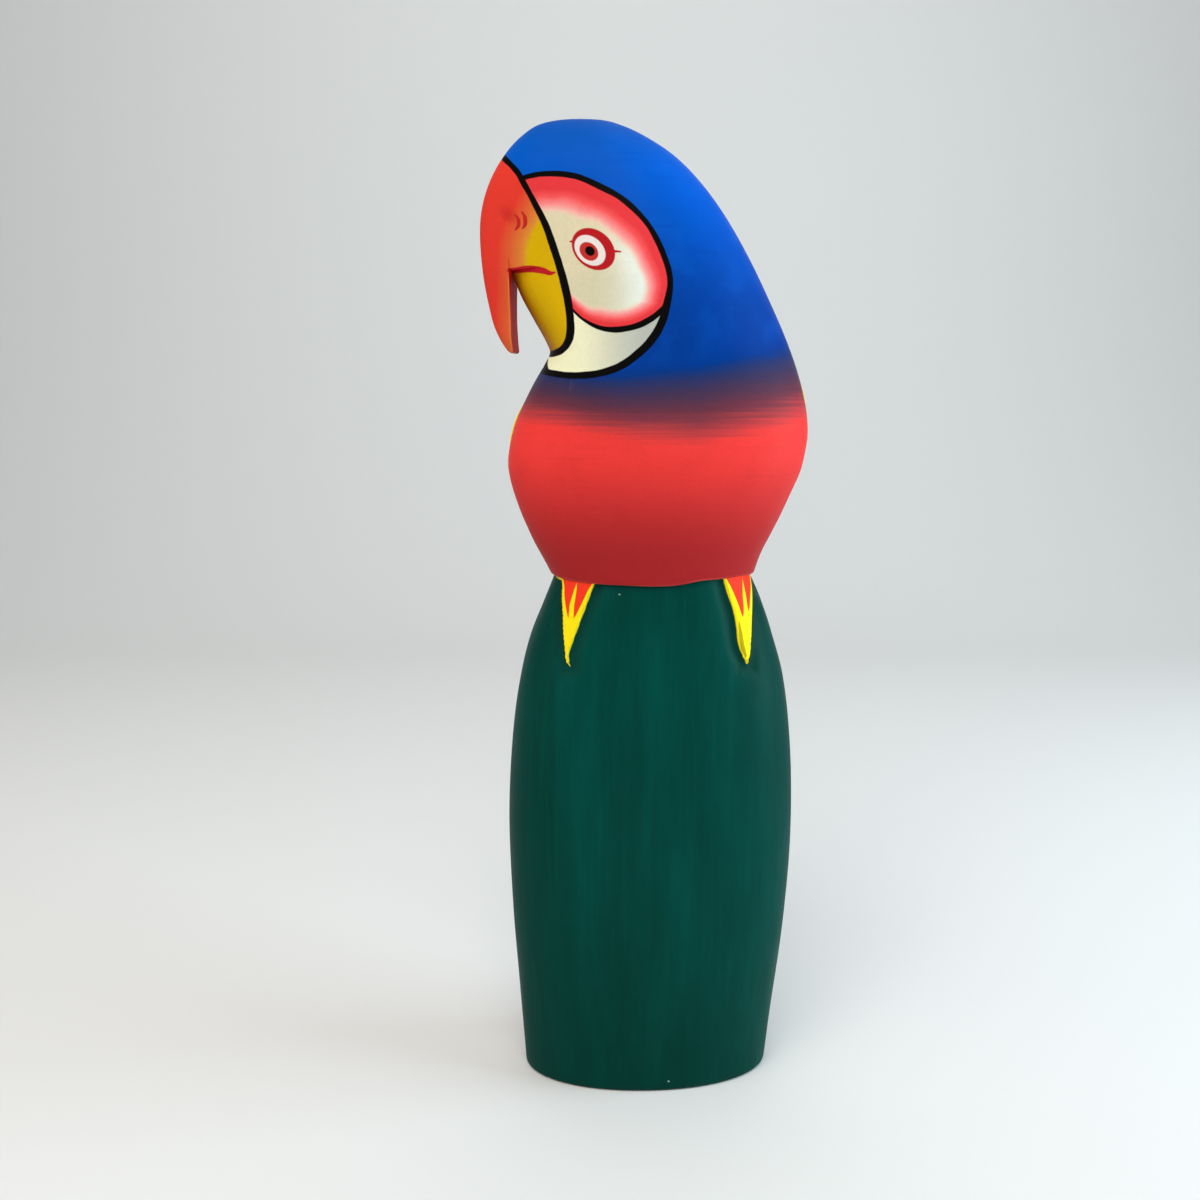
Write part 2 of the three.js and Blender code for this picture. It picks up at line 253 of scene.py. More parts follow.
def figureRings():
    waist, mouth = carving["waist"] + rows["ledge"], carving["mouth"]
    foot = carving["baseEdge"] / carving["height"] * 100
    breast = waist + carving["edgeOfBreast"] / carving["height"] * 100
    trunkLevels = levels(foot, rows["feetFrom"], rows["trunk"])[:-1]
    trunkLevels += levels(rows["feetFrom"], carving["waist"], rows["feet"])
    bodyLevels = levels(breast, rows["shoulderFrom"], rows["breast"])[:-1]
    bodyLevels += levels(rows["shoulderFrom"], rows["headFrom"], rows["shoulder"])[:-1]
    bodyLevels += levels(rows["headFrom"], mouth - rows["ledge"], rows["head"])
    headLevels = levels(mouth, rows["crownFrom"], rows["head"])
    for i in range(1, rows["crownRows"]):
        headLevels.append(100 - (100 - rows["crownFrom"]) * (1 - i / rows["crownRows"]) ** 2)
    rings = roundedRings(0, "trunk", carving["baseEdge"], rows["baseTurns"])
    rings += [sectionRing(sectionAt(height, "trunk")) for height in trunkLevels]
    rings += roundedRings(waist, "body", carving["edgeOfBreast"], rows["breastTurns"])
    rings += [sectionRing(sectionAt(height, "body")) for height in bodyLevels]
    rings += [sectionRing(sectionAt(height, "beak")) for height in headLevels]
    return rings


hookCut = {
    "sunkenRoot": 0.00035,
    "sunkenSkin": 0.00005,
    "points": 26,
    "row": 0.0009,
    "ledge": 0.02,
    "tipTurns": range(0, 90, 15),
    "tipLeast": 0.15,
}


def hookRings():
    across, mouth, points = carving["breadth"] / 100, carving["mouth"], hookCut["points"]
    tip = carving["tipRounding"] / carving["height"] * 100
    heights = [carving["hookTip"] + tip * (1 - math.cos(math.radians(turn))) for turn in hookCut["tipTurns"]]
    heights += levels(carving["hookTip"] + tip, mouth, hookCut["row"])
    heights += levels(mouth + hookCut["ledge"], mouth + carving["hookRoot"], hookCut["row"])
    turns = np.arange(points, -points - 1, -1) * math.pi / 2 / points
    rings = []
    for height in heights:
        section = sectionAt(height, "beak", hookCut["sunkenRoot" if height > mouth else "sunkenSkin"])
        rear = float(line["hookRear"](height)) * across
        halfWidth = (rear - section["left"]) / 2
        halfDepth = section["front"] * float(fullness(section, rear))
        below = max(0, 1 - (height - carving["hookTip"]) / tip)
        drawnIn = carving["tipRounding"] * (1 - math.sqrt(1 - below ** 2))
        narrowed = max(hookCut["tipLeast"], 1 - drawnIn / halfWidth)
        thinned = max(hookCut["tipLeast"], 1 - drawnIn / halfDepth)
        x = section["left"] + 2 * halfWidth * (1 - np.cos(turns))
        depth = np.where(turns < 0, -section["front"], section["back"]) * fullness(section, x) * thinned
        drawn = rear - halfWidth + (x - rear + halfWidth) * narrowed
        rings.append(np.stack([drawn + carving["hookTurn"] * depth, depth,
                               np.full(len(x), section["z"])], 1))
    return rings


def meshFromRings(name, rings, topHeight=None):
    count, rows = len(rings[0]), len(rings)
    points = np.concatenate(rings)
    foot, top = rings[0].mean(0), rings[-1].mean(0)
    if topHeight:
        top[2] = topHeight
    points = np.concatenate([points, [foot, top]])
    faces = []
    for level in range(rows - 1):
        a = level * count
        for i in range(count):
            j = (i + 1) % count
            faces.append((a + i, a + j, a + count + j, a + count + i))
    last = (rows - 1) * count
    for i in range(count):
        j = (i + 1) % count
        faces.append((rows * count, j, i))
        faces.append((rows * count + 1, last + i, last + j))
    mesh = bpy.data.meshes.new(name)
    mesh.from_pydata(points.tolist(), [], faces)
    mesh.validate()
    piece = bpy.data.objects.new(name, mesh)
    bpy.context.scene.collection.objects.link(piece)
    return piece


rings = figureRings()
figure = meshFromRings("carvedParrot", rings, carving["height"])
hook = meshFromRings("hook", hookRings())
join = figure.modifiers.new("join", "BOOLEAN")
join.operation = "UNION"
join.object = hook
join.solver = "MANIFOLD"
bpy.context.view_layer.update()
joined = bpy.data.meshes.new_from_object(figure.evaluated_get(bpy.context.evaluated_depsgraph_get()))
figure.modifiers.clear()
figure.data = joined
bpy.data.objects.remove(hook)
print("figure carved", len(figure.data.polygons), "faces", len(rings), "rows")


wings = {
    "rise": 0.0009,
    "slope": 0.0009,
    "frontEdge": [
        [30, 79.6], [20, 77.4], [12, 75.4], [5, 73.8], [1, 72.6], [0, 71.7], [1, 70.6], [5, 69.2],
        [12, 66.8], [17, 63.5], [21, 60], [25, 57.4], [29, 55.1],
    ],
    "end": 55.1,
    "shoulderRise": {"left": -1.7, "right": 1.9},
    "riseOver": 20,
    "mantle": [[15, 82], [9, 70], [3.5, 62], [0.9, 58], [0.9, 52]],
    "wrap": 0.055,  # metres across the feathers for each radian round the body
    "rowHeights": [0.3125, 0.3010, 0.2885, 0.2740],
    "rowSlope": 0.10,
    "rowLevelFrom": 0.060,
    "scallopWidth": 0.0135,
    "scallopDrop": 0.0062,
    "scallopBend": 3.6,
    "scallopLift": 0.3,
    "quillWidth": 0.0092,
    "quillTop": 0.275,
    "quillTaper": 4.2,
    "groove": 0.0004,
    "grooveWidth": 0.0007,
    "plainEdge": 0.0022,
}
tail = {
    "rise": 0.0014,
    "outline": [
        [-15, 56], [-14, 40], [-11.5, 22], [-9, 12], [-5.5, 8.6], [0, 7.4],
        [5.5, 8.6], [9, 12], [11.5, 22], [14, 40], [15, 56],
    ],
    "halves": [(7.4, 0.5), (8.6, 5.5), (12, 9), (22, 11.5), (40, 14), (56, 15)],
    "slope": 0.0004,
    "quillPairs": 2.5,
    "groove": 0.0004,
    "grooveWidth": 0.0007,
    "plainEdge": 0.002,
}
photo = {"lens": 1200.0, "middle": 600.0, "tilt": 9.5, "place": (-0.0215, -0.5177, 0.3021)}
# outlines of the feet in the photo, [across, down]
feet = {
    "rise": 0.0013,
    "left": {
        "outer": [
            (556, 560), (560.7, 581.4), (560.3, 596), (561.2, 614), (562, 631), (563.6, 649),
            (565, 661), (568.6, 667),
        ],
        "inner": [
            (600, 570), (593.3, 585.4), (588, 599), (582, 615), (576, 631), (570.5, 646),
            (567.8, 656), (568.6, 667),
        ],
        "tip": 667.2,
    },
    "right": {
        "outer": [
            (749.5, 560), (751.6, 576), (753.3, 590), (753.4, 606), (752.8, 622), (752.2, 640),
            (751, 654), (749, 664.5),
        ],
        "inner": [
            (717, 560), (724.6, 581), (728.7, 594), (732.7, 606), (736.7, 622.5), (739.5, 643),
            (742.8, 654), (748.4, 664.5),
        ],
        "tip": 664.5,
    },
    "between": 650,
    "slope": 1.7,
    # the hollow that the gouge left beside each foot
    "scoop": 0.001,
    "scoopPlace": 5,
    "scoopWidth": 6,
    "scoopTop": (560, 600),
    "scoopEnd": (700, 665),
}


def curveThrough(points, perPart):
    p = np.array(points, float)
    p = np.vstack([2 * p[0] - p[1], p, 2 * p[-1] - p[-2]])
    t = np.linspace(0, 1, perPart, endpoint=False)[:, None]
    parts = []
    for a, b, c, d in zip(p[:-3], p[1:-2], p[2:-1], p[3:]):
        parts.append(0.5 * (2 * b + (c - a) * t + (2 * a - 5 * b + 4 * c - d) * t ** 2
                            + (3 * b - a - 3 * c + d) * t ** 3))
    parts.append(p[-2:-1])
    return np.vstack(parts)


def alongCurve(curve, x, y):
    steps = np.diff(curve, axis=0)
    lengths = np.hypot(steps[:, 0], steps[:, 1])
    begun = np.concatenate([[0], np.cumsum(lengths)])
    nearest = np.full(len(x), 1e9)
    side, along, beyond = np.zeros(len(x)), np.zeros(len(x)), np.zeros(len(x))
    for k, (ab, length) in enumerate(zip(steps, lengths)):
        dx, dy = x - curve[k, 0], y - curve[k, 1]
        t = (dx * ab[0] + dy * ab[1]) / length ** 2
        held = np.clip(t, 0, 1)
        distance = np.hypot(dx - held * ab[0], dy - held * ab[1])
        better = distance < nearest - 1e-9
        cross = (ab[0] * dy - ab[1] * dx) / length
        over = np.zeros(len(x))
        if k == 0:
            over = np.maximum(over, -t * length)
        if k == len(steps) - 1:
            over = np.maximum(over, (t - 1) * length)
        signed = np.where(over > 0, cross, np.sign(cross) * distance)
        nearest = np.where(better, distance, nearest)
        side = np.where(better, signed, side)
        along = np.where(better, (begun[k] + held * length) / begun[-1], along)
        beyond = np.where(better, over, beyond)
    return side, along, beyond


def seenInPhoto(points):
    tilt = math.radians(photo["tilt"])
    x = points[:, 0] - photo["place"][0]
    y = -np.abs(points[:, 1]) - photo["place"][1]
    z = points[:, 2] - photo["place"][2]
    away = y * math.cos(tilt) - z * math.sin(tilt)
    rise = y * math.sin(tilt) + z * math.cos(tilt)
    return (photo["middle"] + photo["lens"] * x / away,
            photo["middle"] - photo["lens"] * rise / away)


mesh = figure.data
count = len(mesh.vertices)
points = np.empty(count * 3)
mesh.vertices.foreach_get("co", points)
points = points.reshape(-1, 3)
normals = np.empty(count * 3)
mesh.vertex_normals.foreach_get("vector", normals)
outward = normals.reshape(-1, 3) * [1, 1, 0]
outward /= np.maximum(np.linalg.norm(outward, axis=1), 1e-6)[:, None]
x, y, z = points.T.copy()
height, across, deep = carving["height"] / 100, carving["breadth"] / 100, carving["depth"] / 100

# the edge of the breast rises and falls a little on its way across the front
waistPath = curveThrough(carving["waistLift"], 6) / 1000
nearWaist = np.exp(-((z - carving["waist"] * height) / carving["liftReach"]) ** 2)
nearWaist *= easeBetween(y, *carving["liftFade"])
points[:, 2] += np.interp(x, waistPath[:, 0], waistPath[:, 1]) * nearWaist

# wings, seen from the side for their front edge and from behind for the mantle between them
edgeOf = {}
for name in ("left", "right"):
    path = curveThrough(wings["frontEdge"], 10)
    aboveEnd = np.maximum(0, path[:, 1] - wings["end"])
    raised = path[:, 1] + wings["shoulderRise"][name] * aboveEnd / wings["riseOver"]
    edgeOf[name] = alongCurve(np.stack([path[:, 0] * deep, raised * height], 1), y, z)[0]
wingFront = np.where(x < 0, edgeOf["left"], edgeOf["right"])
mantleLine = np.array(wings["mantle"], float) * [across, height]
wingInner = alongCurve(mantleLine, np.abs(x), z)[0]
wingInner = np.where(y > 0, wingInner, 0.05)
wingEdge = np.minimum(np.minimum(wingFront, wingInner), z - wings["end"] * height)
onWing = easeBetween(wingEdge, -wings["slope"], wings["slope"])


# feathers of the wings: rows of scales on the shoulder, then long quills
def rowEdge(row, place):
    level = wings["rowHeights"][row] - wings["rowSlope"] * np.maximum(0, wings["rowLevelFrom"] - place)
    share = (place / wings["scallopWidth"] + 0.5 * (row % 2)) % 1 - 0.5
    bow = np.sqrt(np.maximum(0, 1 - wings["scallopBend"] * share ** 2))
    return level - wings["scallopDrop"] * (bow - wings["scallopLift"])


turned = np.arctan2(np.abs(x), y) * wings["wrap"]
featherGap = np.full(count, 0.02)
for row in range(len(wings["rowHeights"])):
    rowGap = z - rowEdge(row, turned)
    featherGap = np.where(np.abs(rowGap) < np.abs(featherGap), rowGap, featherGap)
belowRows = rowEdge(len(wings["rowHeights"]) - 1, turned) - z
quillTaper = 1 + wings["quillTaper"] * np.maximum(0, wings["quillTop"] - z)
quillShare = (turned * quillTaper / wings["quillWidth"]) % 1 - 0.5
quillGap = (0.5 - np.abs(quillShare)) * wings["quillWidth"]
featherGap = np.where((belowRows > 0) & (quillGap < np.abs(featherGap)), quillGap, featherGap)

# tail, on the back of the trunk
tailLine = np.array(tail["outline"], float) * [across, height]
tailSide = alongCurve(curveThrough(tailLine, 6), x, z)[0]
tailEdge = np.where(y > 0, tailSide, -0.05)
halfTail = np.interp(z / height, *np.array(tail["halves"]).T) * across
tailShare = x / halfTail
quills = (tailShare * tail["quillPairs"] + 0.5) % 1 - 0.5
tailGap = (0.5 - np.abs(quills)) * halfTail / tail["quillPairs"]
onTrunk = z < carving["waist"] * height + 1e-5
onTail = easeBetween(tailEdge, -tail["slope"], tail["slope"]) * onTrunk

# feet, drawn as they are seen from the front
inFront = (y < 0) & onTrunk
photoX, photoY = seenInPhoto(points + outward * (feet["rise"] * inFront)[:, None])
edges = {}
for name in ("left", "right"):
    outer, inner = curveThrough(feet[name]["outer"], 6), curveThrough(feet[name]["inner"], 6)
    edges[name] = (np.interp(photoY, outer[:, 1], outer[:, 0]), np.interp(photoY, inner[:, 1], inner[:, 0]))
isLeft = photoX < feet["between"]
footOuter = np.where(isLeft, photoX - edges["left"][0], edges["right"][0] - photoX)
footInner = np.where(isLeft, edges["left"][1] - photoX, photoX - edges["right"][1])
footTip = np.where(isLeft, feet["left"]["tip"], feet["right"]["tip"]) - photoY
footInside = np.minimum(np.minimum(footOuter, footInner), footTip)
onFoot = easeBetween(footInside, -feet["slope"], feet["slope"]) * inFront
scoop = np.exp(-((footInside + feet["scoopPlace"]) / feet["scoopWidth"]) ** 2)
scoop *= easeBetween(photoY, *feet["scoopTop"]) * easeBetween(photoY, *feet["scoopEnd"])
scoop *= inFront * (footInside < 0)

relief = wings["rise"] * onWing + tail["rise"] * onTail + feet["rise"] * onFoot
relief -= feet["scoop"] * scoop
wingGroove = np.exp(-(featherGap / wings["grooveWidth"]) ** 2) * (wingEdge > wings["plainEdge"])
tailGroove = np.exp(-(tailGap / tail["grooveWidth"]) ** 2) * (tailEdge > tail["plainEdge"])
relief -= wings["groove"] * onWing * wingGroove + tail["groove"] * onTail * tailGroove

# the knife leaves the wood a little uneven, away from the cut edges
knife = {
    "depth": 0.00012,
    "fineShare": 0.6,
    "overBase": (0.002, 0.01),
    "waistHeight": 0.2275,
    "clearOfWaist": 0.0025,
    "upTo": 0.3,
}
broadCuts = np.sin(61 * x + 23 * z + 1.3) * np.sin(37 * z + 41 * y)
fineCuts = np.sin(97 * z + 53 * x * (y < 0) + 2.1) * np.sin(83 * x - 29 * z + 0.4)
free = easeBetween(z, *knife["overBase"]) * (np.abs(z - knife["waistHeight"]) > knife["clearOfWaist"])
relief += (broadCuts + knife["fineShare"] * fineCuts) * knife["depth"] * free * (z < knife["upTo"])
points += outward * relief[:, None]
mesh.vertices.foreach_set("co", points.ravel())
mesh.update()
print("relief carved")

# lines drawn on the figure, as seen in the photo; "half" is [share of the way, half the width]
drawing = {
    "band": {
        "path": [
            (497, 149), (503, 157), (516.5, 171), (524, 184), (533, 200), (545.5, 225), (554.3, 250),
            (562, 275), (567.8, 300), (570.4, 320), (570, 335), (566.2, 345), (560, 351),
            (552.5, 354), (549.5, 354.3),
        ],
        "half": [(0, 2.8), (0.23, 3), (0.36, 3.4), (0.6, 4), (0.75, 3.9), (0.88, 4.2), (1, 3)],
    },
    "rim": {
        "path": [
            (513, 182), (526, 177), (540, 174.1), (559.5, 173.8), (578, 176.9), (596.5, 184.8),
            (617.6, 195.6), (634.1, 209), (648.8, 225.6), (660.1, 246.1), (668.2, 268.3),
            (670.1, 285.6), (666.7, 304.4), (661.4, 323.3), (650.9, 340.9), (635.7, 355.6),
            (618.8, 367), (597.8, 373.6), (574.8, 375.5), (560, 374.4), (547, 372), (538, 369.5),
        ],
        "half": [
            (0, 2.3), (0.06, 2.6), (0.12, 3.1), (0.2, 3.2), (0.3, 3), (0.38, 2.7), (0.45, 3),
            (0.54, 3.1), (0.6, 4.1), (0.68, 4.2), (0.74, 4.1), (0.85, 3.6), (1, 3.2),
        ],
    },
    "inner": {
        "path": [
            (560, 296), (566, 303), (575.2, 312.5), (584, 320), (599.7, 327.7), (617, 329.6),
            (635.3, 326.3), (650.4, 319.2), (662, 310), (672, 299),
        ],
        "half": [(0, 1.3), (0.16, 1.4), (0.26, 1.6), (0.38, 2.3), (0.5, 3.1), (0.8, 3.2), (1, 3)],
    },
    "mouth": {
        "path": [
            (508.5, 270.5), (512, 270.5), (518, 270.1), (525, 269.2), (533, 269), (543, 270.8),
            (550, 273.2), (555.5, 272.2),
        ],
        "half": [(0, 2.6), (0.2, 3.2), (0.36, 3.5), (0.7, 3.3), (0.88, 2.3), (1, 0.8)],
    },
    "nostrilNear": {
        "path": [(521.4, 211.6), (524, 215), (525.2, 219), (525, 224.8), (522, 229.2)],
        "half": [(0, 0.7), (0.4, 2.1), (0.75, 2), (1, 0.6)],
    },
    "nostrilFar": {
        "path": [(514, 214.6), (517.2, 217.2), (518.6, 221), (518.2, 226.3), (514, 230.7)],
        "half": [(0, 0.6), (0.4, 1.8), (0.75, 1.7), (1, 0.5)],
    },
    "chin": {
        "path": [(550, 373), (546.4, 370), (545.6, 364), (547.4, 357)],
        "half": [(0, 2.6), (0.5, 2.2), (1, 1.2)],
    },
    "tickLeft": {
        "path": [(568.6, 242), (570.6, 241.5), (573.5, 241)],
        "half": [(0, 0.8), (1, 1.5)],
    },
    "tickRight": {
        "path": [(613, 251.2), (617, 251.4), (621.2, 251.7)],
        "half": [(0, 1.6), (1, 0.7)],
    },
    # a darker yellow stroke on the lower left of the right foot: painted shade on its side facet
    "claw": {
        "path": [(739, 621), (740.8, 634), (743.2, 648), (746.4, 657)],
        "half": [(0, 0.4), (0.35, 1.5), (0.8, 1.7), (1, 0.6)],
    },
    "gold": {
        "path": [
            (546, 208), (543, 214), (539, 222), (532, 233), (527.5, 245), (526.5, 258),
            (526, 272), (526, 290), (525, 320), (525, 352),
        ],
    },
}
strokeTaper = 1.5  # how fast a line narrows beyond its ends
# where the blue starts to turn and where the red is reached, [across, down]
blendFrom = [(520, 356), (545, 364), (580, 371), (620, 373), (700, 364), (770, 348), (806, 336)]
blendTo = [
    (508, 408), (525, 413), (560, 419), (590, 426), (640, 433), (700, 434), (770, 419), (806, 406),
]
# stripes of the feet: [down, width] beside each edge and for the middle one, [down, across] for its place
stripes = {
    "outerLeft": [(578, 2.6), (590, 3.5), (605, 4.6), (615, 5.9), (622, 7.5), (628, 10)],
    "innerLeft": [(585, 1.8), (590, 3.3), (605, 4.7), (615, 6), (620, 7.5), (626, 10)],
    "middleLeft": [(582.8, 577), (590, 575.2), (605, 571.7), (615, 571.1), (622, 570.5), (667, 568)],
    "widthLeft": [(582, -0.2), (590, 1.2), (605, 2.3), (615, 2.4), (622, 3), (630, 7)],
    "outerRight": [(575, 1.7), (584, 2), (595, 3.2), (607, 3.8), (614, 5), (620, 8)],
    "innerRight": [(578, 2.2), (585, 4), (595, 5.4), (605, 6), (615, 6.6), (626, 8.5), (632, 10)],
    "middleRight": [(578, 742.4), (595.5, 744.2), (607.4, 745.6), (619, 747), (664, 749)],
    "widthRight": [(577, -0.2), (595.5, 1.5), (607.4, 1.9), (613, 2.6), (620, 5), (632, 7)],
}


def keep(name, values):
    made = mesh.attributes.new(name, "FLOAT", "POINT")
    made.data.foreach_set("value", np.asarray(values, np.float32))


def readOff(value, stations):
    return np.interp(value, [s[0] for s in stations], [s[1] for s in stations])


def onEachFoot(name):
    return np.where(isLeft, readOff(photoY, stripes[name + "Left"]),
                    readOff(photoY, stripes[name + "Right"]))


keep("photoX", photoX)
keep("photoY", photoY)
for name, drawn in drawing.items():
    side, along, beyond = alongCurve(curveThrough(drawn["path"], 7), photoX, photoY)
    keep(name + "Side", side)
    if "half" in drawn:
        keep(name + "Half", readOff(along, drawn["half"]) - strokeTaper * beyond)

blendStart, blendEnd = readOff(photoX, blendFrom), readOff(photoX, blendTo)
keep("blend", (photoY - blendStart) / (blendEnd - blendStart))
keep("footOuter", footOuter)
keep("footInner", footInner)
keep("outerGold", onEachFoot("outer") - footOuter)
keep("innerGold", onEachFoot("inner") - footInner)
keep("footMiddle", photoX - onEachFoot("middle"))
keep("footWidth", onEachFoot("width"))
keep("footFront", np.where(inFront, footTip, -30))
keep("scoop", scoop)
keep("front", np.where(y < 0, 1.0, -1.0))
keep("trunk", np.where(onTrunk, 1.0, -1.0))
keep("aboveWaist", (z - carving["waist"] * height) * 1000)
keep("toRear", (x - line["hookRear"](z / height) * across - carving["hookTurn"] * y) * 1000)
keep("wingEdge", wingEdge * 1000)
keep("featherGap", featherGap * 1000)
keep("lowestRow", belowRows * 1000)
keep("tailEdge", np.where(onTrunk, tailEdge, -0.05) * 1000)
keep("tailGap", tailGap * 1000)
keep("tailShare", tailShare)
print("drawing laid out")

# faces cut flat: the rear of the hook, the underside of the beak and the base
cuts = {
    "near": 0.0004,
    "facing": 0.8,
    "hook": (0.31, 0.36),
    "nearMouth": 0.0006,
    "nearBase": 0.00005,
}
faceCount = len(mesh.polygons)
centres, facing = np.empty(faceCount * 3), np.empty(faceCount * 3)
mesh.polygons.foreach_get("center", centres)
mesh.polygons.foreach_get("normal", facing)
centres, facing = centres.reshape(-1, 3), facing.reshape(-1, 3)
rearLine = line["hookRear"](centres[:, 2] / height) * across + carving["hookTurn"] * centres[:, 1]
isRear = (np.abs(centres[:, 0] - rearLine) < cuts["near"]) & (facing[:, 0] > cuts["facing"])
isRear &= (centres[:, 2] > cuts["hook"][0]) & (centres[:, 2] < cuts["hook"][1])
isMouth = np.abs(centres[:, 2] - carving["mouth"] * height) < cuts["nearMouth"]
isMouth &= facing[:, 2] < -cuts["facing"]
kind = np.zeros(faceCount, np.int32)
kind[isRear | isMouth] = 1
kind[centres[:, 2] < cuts["nearBase"]] = 2

colours = {
    # the hood's low blue is painted shade
    "blueTop": (0, 82, 172), "blue": (0, 88, 196), "blueShadedLow": (0, 56, 140), "blueDeep": (0, 44, 122),
    "blueLight": (6, 98, 206),
    # the deep red serves for brush strokes and also as painted shade on the lower breast
    # the worn red is wear and also a painted highlight on the rounded lower edge of the breast
    "red": (236, 60, 56), "redDeepAndShade": (166, 38, 40), "wornRedAndHighlight": (222, 96, 84),
    # the deep green serves for brush strokes and also as painted shade low on the trunk
    # the olive is painted shade in the hollows beside the feet
    "green": (0, 64, 56), "greenDeepAndShade": (0, 50, 40), "teal": (0, 86, 78), "oliveScoopShade": (22, 38, 18),
    "beakRed": (220, 57, 44), "beakDark": (186, 34, 35), "beakOrange": (214, 90, 48),
    # the beak's brown is painted shade on the left edge of the lower beak
    "tan": (212, 138, 50), "beakYellow": (208, 166, 4), "beakEdgeShade": (150, 88, 10),
    # the darker yellow is painted shade on the side facet of the right foot
    "claw": (176, 158, 12),
    # the cut crimson is painted light: brighter than the crimson, so the hook's shaded cut face looks lit
    "crimson": (178, 26, 32), "cutCrimsonLit": (250, 50, 64),
    "cream": (218, 207, 172), "paper": (226, 230, 220), "crescent": (240, 238, 198),
    "crescentRight": (176, 178, 168), "eyeWhite": (228, 220, 214),
    "black": (5, 5, 4), "yellow": (250, 226, 22), "footRed": (240, 58, 34),
    "iris": (190, 46, 44), "bare": (196, 164, 118), "fleck": (150, 176, 166), "patchShade": (196, 194, 164),
}
# from blue to red, [share of the way, colour]
blendStops = [
    (0.0, (0, 52, 132)), (0.05, (6, 50, 120)), (0.14, (34, 48, 98)), (0.23, (52, 48, 86)),
    (0.32, (66, 48, 76)), (0.42, (84, 49, 70)), (0.515, (102, 49, 64)), (0.61, (126, 53, 64)),
    (0.70, (165, 58, 62)), (0.79, (198, 60, 61)), (0.885, (224, 60, 57)), (1.0, (238, 60, 54)),
]
sheet = {"tree": None, "made": 0}


def linear(colour):
    shade = colours[colour] if isinstance(colour, str) else colour
    return [((c / 255 + 0.055) / 1.055) ** 2.4 if c > 10 else c / 255 / 12.92 for c in shade] + [1]


def startMaterial(name):
    material = bpy.data.materials.new(name)
    material.use_nodes = True
    sheet["tree"] = material.node_tree
    sheet["made"] = 0
    return material, material.node_tree.nodes["Principled BSDF"]


def connect(value, socket):
    if isinstance(value, bpy.types.NodeSocket):
        sheet["tree"].links.new(value, socket)
    elif isinstance(value, str):
        socket.default_value = linear(value)
    elif isinstance(value, tuple) and len(value) == 3 and socket.type == "RGBA":
        socket.default_value = linear(value)
    else:
        socket.default_value = value


def add(kind, inputs=(), **settings):
    node = sheet["tree"].nodes.new(kind)
    node.location = (-2600 + 190 * (sheet["made"] // 9), 900 - 220 * (sheet["made"] % 9))
    sheet["made"] += 1
    for key, value in settings.items():
        setattr(node, key, value)
    for key, value in dict(inputs).items():
        connect(value, node.inputs[key])
    return node


def calc(operation, *values):
    return add("ShaderNodeMath", dict(enumerate(values)), operation=operation).outputs[0]


def product(*values):
    result = values[0]
    for value in values[1:]:
        result = calc("MULTIPLY", result, value)
    return result


def kept(name):
    return add("ShaderNodeAttribute", attribute_name=name).outputs["Fac"]


def rise(value, start, end):
    return add("ShaderNodeMapRange", {"Value": value, "From Min": start, "From Max": end},
               interpolation_type="SMOOTHSTEP").outputs["Result"]


def spread(value, start, end, first, last):
    return add("ShaderNodeMapRange", {"Value": value, "From Min": start, "From Max": end,
                                      "To Min": first, "To Max": last}).outputs["Result"]


def mixed(share, first, second):
    node = add("ShaderNodeMix", data_type="RGBA")
    connect(share, node.inputs[0])
    connect(first, node.inputs[6])
    connect(second, node.inputs[7])
    return node.outputs[2]


def scaled(colour, amount):
    vector = linear(colour)[:3] if isinstance(colour, str) else colour
    return add("ShaderNodeVectorMath", {0: vector, "Scale": amount}, operation="SCALE").outputs[0]


def noise(stretch, detail=3, roughness=0.55, shift=(0, 0, 0)):
    place = add("ShaderNodeTexCoord").outputs["Object"]
    mapped = add("ShaderNodeMapping", {"Vector": place, "Scale": stretch, "Location": shift})
    return add("ShaderNodeTexNoise", {"Vector": mapped.outputs[0], "Scale": 1, "Detail": detail,
                                      "Roughness": roughness}).outputs["Fac"]


def swing(value, amount):
    return calc("MULTIPLY", calc("SUBTRACT", value, 0.5), amount)


def ramp(value, stops):
    node = add("ShaderNodeValToRGB", {"Fac": value})
    elements = node.color_ramp.elements
    while len(elements) < len(stops):
        elements.new(1)
    for element, (at, colour) in zip(elements, stops):
        element.position = at
        element.color = linear(colour)
    return node.outputs["Color"]


def stroke(name, wobble, soft=0.45):
    gap = calc("SUBTRACT", calc("ADD", kept(name + "Half"), wobble),
               calc("ABSOLUTE", kept(name + "Side")))
    return rise(gap, -soft, soft)


def oval(acrossPlace, downPlace, longHalf, shortHalf, turn, soft=0.5):
    c, s = math.cos(math.radians(turn)), math.sin(math.radians(turn))
    dx = calc("SUBTRACT", kept("photoX"), acrossPlace)
    dy = calc("SUBTRACT", kept("photoY"), downPlace)
    u = calc("DIVIDE", calc("ADD", product(dx, c), product(dy, s)), longHalf)
    v = calc("DIVIDE", calc("SUBTRACT", product(dy, c), product(dx, s)), shortHalf)
    reach = calc("SQRT", calc("ADD", product(u, u), product(v, v)))
    return rise(reach, 1 + soft / shortHalf, 1 - soft / shortHalf)


# strokes are given as [brush, from, to, share, colour]
def brushed(under, brush, strokes):
    for kind, start, end, share, colour in strokes:
        under = mixed(product(rise(brush[kind], start, end), share), under, colour)
    return under


